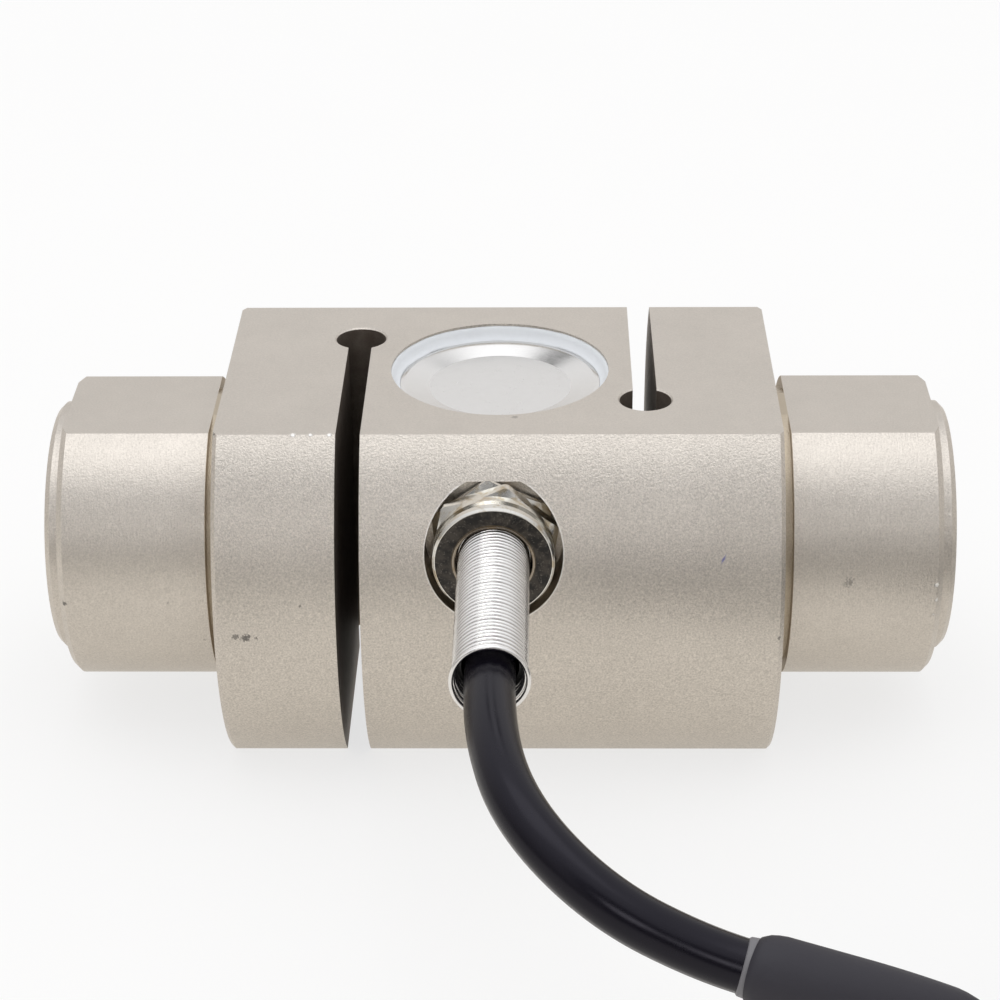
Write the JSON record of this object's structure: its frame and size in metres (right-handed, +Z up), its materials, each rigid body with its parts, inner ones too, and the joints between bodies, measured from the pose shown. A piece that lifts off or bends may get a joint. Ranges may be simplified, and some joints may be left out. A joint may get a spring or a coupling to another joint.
{
  "type": "s type load cell",
  "caption": "Round S-beam load cell with end threads, sealed strain-gauge pockets and a spring-guarded signal cable.",
  "frame": {"origin": "centre of the lower flat that the cell lies on", "axes": "+X along the loading axis, towards the right-hand threaded boss; the cable gland points along -Y; +Z up through the gauge pockets"},
  "size_m": [0.2325, 0.1388, 0.0468],
  "materials": {
    "body_steel": "nickel plated, satin with a fine bead-blast grain",
    "cover_steel": "bright stainless sheet",
    "sealant": "cured white silicone",
    "gauge_film": "polyimide film over metal foil",
    "circuit_board": "glass laminate with tinned pads",
    "foam": "soft adhesive foam",
    "resistor": "chip resistors with tinned ends",
    "inner_lead": "extruded insulation",
    "enamelled_wire": "enamelled copper",
    "washer": "flat rubber seal",
    "plated_brass": "nickel plated brass",
    "black_rubber": "matt rubber",
    "spring_steel": "bright drawn stainless wire",
    "black_plastic": "black shrink tubing or nylon",
    "cable_jacket": "satin polyurethane jacket",
    "grey_sleeve": "matt grey shrink sleeve",
    "red_insulation": "extruded insulation",
    "black_insulation": "extruded insulation",
    "green_insulation": "extruded insulation",
    "white_insulation": "extruded insulation",
    "tinned_copper": "bare tinned strands"
  },
  "bodies": {
    "root": {"body": "body_steel", "top_cover": "cover_steel", "bottom_cover": "cover_steel", "top_sealant": "sealant", "bottom_sealant": "sealant", "top_strain_gauge": "gauge_film", "bottom_strain_gauge": "gauge_film", "top_terminal_strip": "circuit_board", "bottom_terminal_strip": "circuit_board", "board_pad": "foam", "trim_board": "circuit_board", "trim_resistors": "resistor", "inner_leads": "inner_lead", "bridge_wires": "enamelled_wire", "gland_washer": "washer", "gland_body": "plated_brass", "gland_grommet": "black_rubber", "gland_nut": "plated_brass", "gland_face_ring": "black_rubber", "spring_guard": "spring_steel", "guard_liner": "black_plastic", "cable_entry": "cable_jacket", "cable": "cable_jacket", "cable_sleeve": "grey_sleeve", "cable_coil": "cable_jacket", "cable_tail": "cable_jacket", "end_sleeve": "black_plastic", "coil_tie_1": "black_plastic", "coil_tie_2": "black_plastic", "lead_red": "red_insulation", "lead_black": "black_insulation", "lead_green": "green_insulation", "lead_white": "white_insulation", "shield_drain": "tinned_copper"}
  },
  "joints": []
}
